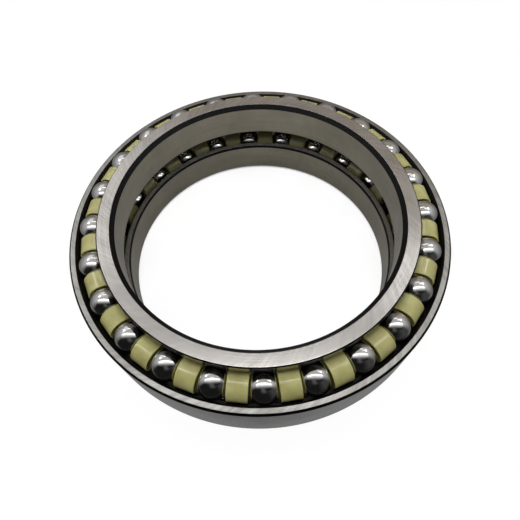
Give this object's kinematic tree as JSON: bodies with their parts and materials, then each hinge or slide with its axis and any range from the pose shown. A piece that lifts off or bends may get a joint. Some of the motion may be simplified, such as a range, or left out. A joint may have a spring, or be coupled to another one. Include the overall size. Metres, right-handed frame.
{
  "type": "double-row angular contact ball bearing",
  "caption": "Two-row angular contact ball bearing: one outer ring, a pair of inner rings, steel balls kept apart by cylindrical nylon spacers. Carries a rotating gearbox hub.",
  "frame": {"origin": "on the bearing's axis at the outer face of the lower inner ring, on which it stands", "axes": "+Z along the bearing's axis, upwards; the first ball of the upper row is at -Y"},
  "size_m": [0.231, 0.231, 0.063],
  "materials": {
    "ring_steel": "ground",
    "ball_steel": "polished",
    "spacer_nylon": "moulded"
  },
  "bodies": {
    "lower_inner_ring": {"lower_inner_ring": "ring_steel"},
    "outer_ring": {"outer_ring": "ring_steel"},
    "lower_row": {"lower_spacers": "spacer_nylon"},
    "upper_inner_ring": {"upper_inner_ring": "ring_steel"},
    "upper_row": {"upper_spacers": "spacer_nylon"},
    "upper_ball_01": {"upper_ball_01": "ball_steel"},
    "upper_ball_02": {"upper_ball_02": "ball_steel"},
    "upper_ball_03": {"upper_ball_03": "ball_steel"},
    "upper_ball_04": {"upper_ball_04": "ball_steel"},
    "upper_ball_05": {"upper_ball_05": "ball_steel"},
    "upper_ball_06": {"upper_ball_06": "ball_steel"},
    "upper_ball_07": {"upper_ball_07": "ball_steel"},
    "upper_ball_08": {"upper_ball_08": "ball_steel"},
    "upper_ball_09": {"upper_ball_09": "ball_steel"},
    "upper_ball_10": {"upper_ball_10": "ball_steel"},
    "upper_ball_11": {"upper_ball_11": "ball_steel"},
    "upper_ball_12": {"upper_ball_12": "ball_steel"},
    "upper_ball_13": {"upper_ball_13": "ball_steel"},
    "upper_ball_14": {"upper_ball_14": "ball_steel"},
    "upper_ball_15": {"upper_ball_15": "ball_steel"},
    "upper_ball_16": {"upper_ball_16": "ball_steel"},
    "upper_ball_17": {"upper_ball_17": "ball_steel"},
    "upper_ball_18": {"upper_ball_18": "ball_steel"},
    "upper_ball_19": {"upper_ball_19": "ball_steel"},
    "upper_ball_20": {"upper_ball_20": "ball_steel"},
    "upper_ball_21": {"upper_ball_21": "ball_steel"},
    "upper_ball_22": {"upper_ball_22": "ball_steel"},
    "upper_ball_23": {"upper_ball_23": "ball_steel"},
    "upper_ball_24": {"upper_ball_24": "ball_steel"},
    "lower_ball_01": {"lower_ball_01": "ball_steel"},
    "lower_ball_02": {"lower_ball_02": "ball_steel"},
    "lower_ball_03": {"lower_ball_03": "ball_steel"},
    "lower_ball_04": {"lower_ball_04": "ball_steel"},
    "lower_ball_05": {"lower_ball_05": "ball_steel"},
    "lower_ball_06": {"lower_ball_06": "ball_steel"},
    "lower_ball_07": {"lower_ball_07": "ball_steel"},
    "lower_ball_08": {"lower_ball_08": "ball_steel"},
    "lower_ball_09": {"lower_ball_09": "ball_steel"},
    "lower_ball_10": {"lower_ball_10": "ball_steel"},
    "lower_ball_11": {"lower_ball_11": "ball_steel"},
    "lower_ball_12": {"lower_ball_12": "ball_steel"},
    "lower_ball_13": {"lower_ball_13": "ball_steel"},
    "lower_ball_14": {"lower_ball_14": "ball_steel"},
    "lower_ball_15": {"lower_ball_15": "ball_steel"},
    "lower_ball_16": {"lower_ball_16": "ball_steel"},
    "lower_ball_17": {"lower_ball_17": "ball_steel"},
    "lower_ball_18": {"lower_ball_18": "ball_steel"},
    "lower_ball_19": {"lower_ball_19": "ball_steel"},
    "lower_ball_20": {"lower_ball_20": "ball_steel"},
    "lower_ball_21": {"lower_ball_21": "ball_steel"},
    "lower_ball_22": {"lower_ball_22": "ball_steel"},
    "lower_ball_23": {"lower_ball_23": "ball_steel"},
    "lower_ball_24": {"lower_ball_24": "ball_steel"}
  },
  "joints": [
    {"name": "outer_ring_spin", "type": "hinge", "parent": "lower_inner_ring", "child": "outer_ring", "pos_m": [0, 0, 0.0315], "axis": [0, 0, 1], "continuous": true},
    {"name": "lower_row_spin", "type": "hinge", "parent": "lower_inner_ring", "child": "lower_row", "pos_m": [0, 0, 0.0141], "axis": [0, 0, 1], "continuous": true},
    {"name": "upper_inner_ring_spin", "type": "hinge", "parent": "outer_ring", "child": "upper_inner_ring", "pos_m": [0, 0, 0.0489], "axis": [0, 0, 1], "continuous": true},
    {"name": "upper_row_spin", "type": "hinge", "parent": "outer_ring", "child": "upper_row", "pos_m": [0, 0, 0.0489], "axis": [0, 0, 1], "continuous": true},
    {"name": "upper_ball_01_spin", "type": "hinge", "parent": "upper_row", "child": "upper_ball_01", "pos_m": [0, -0.101, 0.0489], "axis": [0, -0.6428, 0.766], "continuous": true},
    {"name": "upper_ball_02_spin", "type": "hinge", "parent": "upper_row", "child": "upper_ball_02", "pos_m": [0.02614, -0.09756, 0.0489], "axis": [0.1664, -0.6209, 0.766], "continuous": true},
    {"name": "upper_ball_03_spin", "type": "hinge", "parent": "upper_row", "child": "upper_ball_03", "pos_m": [0.0505, -0.08747, 0.0489], "axis": [0.3214, -0.5567, 0.766], "continuous": true},
    {"name": "upper_ball_04_spin", "type": "hinge", "parent": "upper_row", "child": "upper_ball_04", "pos_m": [0.07142, -0.07142, 0.0489], "axis": [0.4545, -0.4545, 0.766], "continuous": true},
    {"name": "upper_ball_05_spin", "type": "hinge", "parent": "upper_row", "child": "upper_ball_05", "pos_m": [0.08747, -0.0505, 0.0489], "axis": [0.5567, -0.3214, 0.766], "continuous": true},
    {"name": "upper_ball_06_spin", "type": "hinge", "parent": "upper_row", "child": "upper_ball_06", "pos_m": [0.09756, -0.02614, 0.0489], "axis": [0.6209, -0.1664, 0.766], "continuous": true},
    {"name": "upper_ball_07_spin", "type": "hinge", "parent": "upper_row", "child": "upper_ball_07", "pos_m": [0.101, 0, 0.0489], "axis": [0.6428, 0, 0.766], "continuous": true},
    {"name": "upper_ball_08_spin", "type": "hinge", "parent": "upper_row", "child": "upper_ball_08", "pos_m": [0.09756, 0.02614, 0.0489], "axis": [0.6209, 0.1664, 0.766], "continuous": true},
    {"name": "upper_ball_09_spin", "type": "hinge", "parent": "upper_row", "child": "upper_ball_09", "pos_m": [0.08747, 0.0505, 0.0489], "axis": [0.5567, 0.3214, 0.766], "continuous": true},
    {"name": "upper_ball_10_spin", "type": "hinge", "parent": "upper_row", "child": "upper_ball_10", "pos_m": [0.07142, 0.07142, 0.0489], "axis": [0.4545, 0.4545, 0.766], "continuous": true},
    {"name": "upper_ball_11_spin", "type": "hinge", "parent": "upper_row", "child": "upper_ball_11", "pos_m": [0.0505, 0.08747, 0.0489], "axis": [0.3214, 0.5567, 0.766], "continuous": true},
    {"name": "upper_ball_12_spin", "type": "hinge", "parent": "upper_row", "child": "upper_ball_12", "pos_m": [0.02614, 0.09756, 0.0489], "axis": [0.1664, 0.6209, 0.766], "continuous": true},
    {"name": "upper_ball_13_spin", "type": "hinge", "parent": "upper_row", "child": "upper_ball_13", "pos_m": [0, 0.101, 0.0489], "axis": [0, 0.6428, 0.766], "continuous": true},
    {"name": "upper_ball_14_spin", "type": "hinge", "parent": "upper_row", "child": "upper_ball_14", "pos_m": [-0.02614, 0.09756, 0.0489], "axis": [-0.1664, 0.6209, 0.766], "continuous": true},
    {"name": "upper_ball_15_spin", "type": "hinge", "parent": "upper_row", "child": "upper_ball_15", "pos_m": [-0.0505, 0.08747, 0.0489], "axis": [-0.3214, 0.5567, 0.766], "continuous": true},
    {"name": "upper_ball_16_spin", "type": "hinge", "parent": "upper_row", "child": "upper_ball_16", "pos_m": [-0.07142, 0.07142, 0.0489], "axis": [-0.4545, 0.4545, 0.766], "continuous": true},
    {"name": "upper_ball_17_spin", "type": "hinge", "parent": "upper_row", "child": "upper_ball_17", "pos_m": [-0.08747, 0.0505, 0.0489], "axis": [-0.5567, 0.3214, 0.766], "continuous": true},
    {"name": "upper_ball_18_spin", "type": "hinge", "parent": "upper_row", "child": "upper_ball_18", "pos_m": [-0.09756, 0.02614, 0.0489], "axis": [-0.6209, 0.1664, 0.766], "continuous": true},
    {"name": "upper_ball_19_spin", "type": "hinge", "parent": "upper_row", "child": "upper_ball_19", "pos_m": [-0.101, 0, 0.0489], "axis": [-0.6428, 0, 0.766], "continuous": true},
    {"name": "upper_ball_20_spin", "type": "hinge", "parent": "upper_row", "child": "upper_ball_20", "pos_m": [-0.09756, -0.02614, 0.0489], "axis": [-0.6209, -0.1664, 0.766], "continuous": true},
    {"name": "upper_ball_21_spin", "type": "hinge", "parent": "upper_row", "child": "upper_ball_21", "pos_m": [-0.08747, -0.0505, 0.0489], "axis": [-0.5567, -0.3214, 0.766], "continuous": true},
    {"name": "upper_ball_22_spin", "type": "hinge", "parent": "upper_row", "child": "upper_ball_22", "pos_m": [-0.07142, -0.07142, 0.0489], "axis": [-0.4545, -0.4545, 0.766], "continuous": true},
    {"name": "upper_ball_23_spin", "type": "hinge", "parent": "upper_row", "child": "upper_ball_23", "pos_m": [-0.0505, -0.08747, 0.0489], "axis": [-0.3214, -0.5567, 0.766], "continuous": true},
    {"name": "upper_ball_24_spin", "type": "hinge", "parent": "upper_row", "child": "upper_ball_24", "pos_m": [-0.02614, -0.09756, 0.0489], "axis": [-0.1664, -0.6209, 0.766], "continuous": true},
    {"name": "lower_ball_01_spin", "type": "hinge", "parent": "lower_row", "child": "lower_ball_01", "pos_m": [0.00441, -0.1009, 0.0141], "axis": [-0.028, 0.6422, 0.766], "continuous": true},
    {"name": "lower_ball_02_spin", "type": "hinge", "parent": "lower_row", "child": "lower_ball_02", "pos_m": [0.03037, -0.09632, 0.0141], "axis": [-0.1933, 0.613, 0.766], "continuous": true},
    {"name": "lower_ball_03_spin", "type": "hinge", "parent": "lower_row", "child": "lower_ball_03", "pos_m": [0.05427, -0.08518, 0.0141], "axis": [-0.3454, 0.5421, 0.766], "continuous": true},
    {"name": "lower_ball_04_spin", "type": "hinge", "parent": "lower_row", "child": "lower_ball_04", "pos_m": [0.07447, -0.06824, 0.0141], "axis": [-0.4739, 0.4343, 0.766], "continuous": true},
    {"name": "lower_ball_05_spin", "type": "hinge", "parent": "lower_row", "child": "lower_ball_05", "pos_m": [0.08959, -0.04664, 0.0141], "axis": [-0.5702, 0.2968, 0.766], "continuous": true},
    {"name": "lower_ball_06_spin", "type": "hinge", "parent": "lower_row", "child": "lower_ball_06", "pos_m": [0.09861, -0.02186, 0.0141], "axis": [-0.6276, 0.1391, 0.766], "continuous": true},
    {"name": "lower_ball_07_spin", "type": "hinge", "parent": "lower_row", "child": "lower_ball_07", "pos_m": [0.1009, 0.00441, 0.0141], "axis": [-0.6422, -0.028, 0.766], "continuous": true},
    {"name": "lower_ball_08_spin", "type": "hinge", "parent": "lower_row", "child": "lower_ball_08", "pos_m": [0.09632, 0.03037, 0.0141], "axis": [-0.613, -0.1933, 0.766], "continuous": true},
    {"name": "lower_ball_09_spin", "type": "hinge", "parent": "lower_row", "child": "lower_ball_09", "pos_m": [0.08518, 0.05427, 0.0141], "axis": [-0.5421, -0.3454, 0.766], "continuous": true},
    {"name": "lower_ball_10_spin", "type": "hinge", "parent": "lower_row", "child": "lower_ball_10", "pos_m": [0.06824, 0.07447, 0.0141], "axis": [-0.4343, -0.4739, 0.766], "continuous": true},
    {"name": "lower_ball_11_spin", "type": "hinge", "parent": "lower_row", "child": "lower_ball_11", "pos_m": [0.04664, 0.08959, 0.0141], "axis": [-0.2968, -0.5702, 0.766], "continuous": true},
    {"name": "lower_ball_12_spin", "type": "hinge", "parent": "lower_row", "child": "lower_ball_12", "pos_m": [0.02186, 0.09861, 0.0141], "axis": [-0.1391, -0.6276, 0.766], "continuous": true},
    {"name": "lower_ball_13_spin", "type": "hinge", "parent": "lower_row", "child": "lower_ball_13", "pos_m": [-0.00441, 0.1009, 0.0141], "axis": [0.028, -0.6422, 0.766], "continuous": true},
    {"name": "lower_ball_14_spin", "type": "hinge", "parent": "lower_row", "child": "lower_ball_14", "pos_m": [-0.03037, 0.09632, 0.0141], "axis": [0.1933, -0.613, 0.766], "continuous": true},
    {"name": "lower_ball_15_spin", "type": "hinge", "parent": "lower_row", "child": "lower_ball_15", "pos_m": [-0.05427, 0.08518, 0.0141], "axis": [0.3454, -0.5421, 0.766], "continuous": true},
    {"name": "lower_ball_16_spin", "type": "hinge", "parent": "lower_row", "child": "lower_ball_16", "pos_m": [-0.07447, 0.06824, 0.0141], "axis": [0.4739, -0.4343, 0.766], "continuous": true},
    {"name": "lower_ball_17_spin", "type": "hinge", "parent": "lower_row", "child": "lower_ball_17", "pos_m": [-0.08959, 0.04664, 0.0141], "axis": [0.5702, -0.2968, 0.766], "continuous": true},
    {"name": "lower_ball_18_spin", "type": "hinge", "parent": "lower_row", "child": "lower_ball_18", "pos_m": [-0.09861, 0.02186, 0.0141], "axis": [0.6276, -0.1391, 0.766], "continuous": true},
    {"name": "lower_ball_19_spin", "type": "hinge", "parent": "lower_row", "child": "lower_ball_19", "pos_m": [-0.1009, -0.00441, 0.0141], "axis": [0.6422, 0.028, 0.766], "continuous": true},
    {"name": "lower_ball_20_spin", "type": "hinge", "parent": "lower_row", "child": "lower_ball_20", "pos_m": [-0.09632, -0.03037, 0.0141], "axis": [0.613, 0.1933, 0.766], "continuous": true},
    {"name": "lower_ball_21_spin", "type": "hinge", "parent": "lower_row", "child": "lower_ball_21", "pos_m": [-0.08518, -0.05427, 0.0141], "axis": [0.5421, 0.3454, 0.766], "continuous": true},
    {"name": "lower_ball_22_spin", "type": "hinge", "parent": "lower_row", "child": "lower_ball_22", "pos_m": [-0.06824, -0.07447, 0.0141], "axis": [0.4343, 0.4739, 0.766], "continuous": true},
    {"name": "lower_ball_23_spin", "type": "hinge", "parent": "lower_row", "child": "lower_ball_23", "pos_m": [-0.04664, -0.08959, 0.0141], "axis": [0.2968, 0.5702, 0.766], "continuous": true},
    {"name": "lower_ball_24_spin", "type": "hinge", "parent": "lower_row", "child": "lower_ball_24", "pos_m": [-0.02186, -0.09861, 0.0141], "axis": [0.1391, 0.6276, 0.766], "continuous": true}
  ],
  "couplings": [
    {"joint": "lower_row_spin", "follows": "outer_ring_spin", "ratio": 0.53413},
    {"joint": "upper_row_spin", "follows": "upper_inner_ring_spin", "ratio": 0.46587},
    {"joint": "upper_ball_01_spin", "follows": "upper_inner_ring_spin", "ratio": -5.585},
    {"joint": "upper_ball_02_spin", "follows": "upper_inner_ring_spin", "ratio": -5.585},
    {"joint": "upper_ball_03_spin", "follows": "upper_inner_ring_spin", "ratio": -5.585},
    {"joint": "upper_ball_04_spin", "follows": "upper_inner_ring_spin", "ratio": -5.585},
    {"joint": "upper_ball_05_spin", "follows": "upper_inner_ring_spin", "ratio": -5.585},
    {"joint": "upper_ball_06_spin", "follows": "upper_inner_ring_spin", "ratio": -5.585},
    {"joint": "upper_ball_07_spin", "follows": "upper_inner_ring_spin", "ratio": -5.585},
    {"joint": "upper_ball_08_spin", "follows": "upper_inner_ring_spin", "ratio": -5.585},
    {"joint": "upper_ball_09_spin", "follows": "upper_inner_ring_spin", "ratio": -5.585},
    {"joint": "upper_ball_10_spin", "follows": "upper_inner_ring_spin", "ratio": -5.585},
    {"joint": "upper_ball_11_spin", "follows": "upper_inner_ring_spin", "ratio": -5.585},
    {"joint": "upper_ball_12_spin", "follows": "upper_inner_ring_spin", "ratio": -5.585},
    {"joint": "upper_ball_13_spin", "follows": "upper_inner_ring_spin", "ratio": -5.585},
    {"joint": "upper_ball_14_spin", "follows": "upper_inner_ring_spin", "ratio": -5.585},
    {"joint": "upper_ball_15_spin", "follows": "upper_inner_ring_spin", "ratio": -5.585},
    {"joint": "upper_ball_16_spin", "follows": "upper_inner_ring_spin", "ratio": -5.585},
    {"joint": "upper_ball_17_spin", "follows": "upper_inner_ring_spin", "ratio": -5.585},
    {"joint": "upper_ball_18_spin", "follows": "upper_inner_ring_spin", "ratio": -5.585},
    {"joint": "upper_ball_19_spin", "follows": "upper_inner_ring_spin", "ratio": -5.585},
    {"joint": "upper_ball_20_spin", "follows": "upper_inner_ring_spin", "ratio": -5.585},
    {"joint": "upper_ball_21_spin", "follows": "upper_inner_ring_spin", "ratio": -5.585},
    {"joint": "upper_ball_22_spin", "follows": "upper_inner_ring_spin", "ratio": -5.585},
    {"joint": "upper_ball_23_spin", "follows": "upper_inner_ring_spin", "ratio": -5.585},
    {"joint": "upper_ball_24_spin", "follows": "upper_inner_ring_spin", "ratio": -5.585},
    {"joint": "lower_ball_01_spin", "follows": "outer_ring_spin", "ratio": 5.585},
    {"joint": "lower_ball_02_spin", "follows": "outer_ring_spin", "ratio": 5.585},
    {"joint": "lower_ball_03_spin", "follows": "outer_ring_spin", "ratio": 5.585},
    {"joint": "lower_ball_04_spin", "follows": "outer_ring_spin", "ratio": 5.585},
    {"joint": "lower_ball_05_spin", "follows": "outer_ring_spin", "ratio": 5.585},
    {"joint": "lower_ball_06_spin", "follows": "outer_ring_spin", "ratio": 5.585},
    {"joint": "lower_ball_07_spin", "follows": "outer_ring_spin", "ratio": 5.585},
    {"joint": "lower_ball_08_spin", "follows": "outer_ring_spin", "ratio": 5.585},
    {"joint": "lower_ball_09_spin", "follows": "outer_ring_spin", "ratio": 5.585},
    {"joint": "lower_ball_10_spin", "follows": "outer_ring_spin", "ratio": 5.585},
    {"joint": "lower_ball_11_spin", "follows": "outer_ring_spin", "ratio": 5.585},
    {"joint": "lower_ball_12_spin", "follows": "outer_ring_spin", "ratio": 5.585},
    {"joint": "lower_ball_13_spin", "follows": "outer_ring_spin", "ratio": 5.585},
    {"joint": "lower_ball_14_spin", "follows": "outer_ring_spin", "ratio": 5.585},
    {"joint": "lower_ball_15_spin", "follows": "outer_ring_spin", "ratio": 5.585},
    {"joint": "lower_ball_16_spin", "follows": "outer_ring_spin", "ratio": 5.585},
    {"joint": "lower_ball_17_spin", "follows": "outer_ring_spin", "ratio": 5.585},
    {"joint": "lower_ball_18_spin", "follows": "outer_ring_spin", "ratio": 5.585},
    {"joint": "lower_ball_19_spin", "follows": "outer_ring_spin", "ratio": 5.585},
    {"joint": "lower_ball_20_spin", "follows": "outer_ring_spin", "ratio": 5.585},
    {"joint": "lower_ball_21_spin", "follows": "outer_ring_spin", "ratio": 5.585},
    {"joint": "lower_ball_22_spin", "follows": "outer_ring_spin", "ratio": 5.585},
    {"joint": "lower_ball_23_spin", "follows": "outer_ring_spin", "ratio": 5.585},
    {"joint": "lower_ball_24_spin", "follows": "outer_ring_spin", "ratio": 5.585}
  ]
}
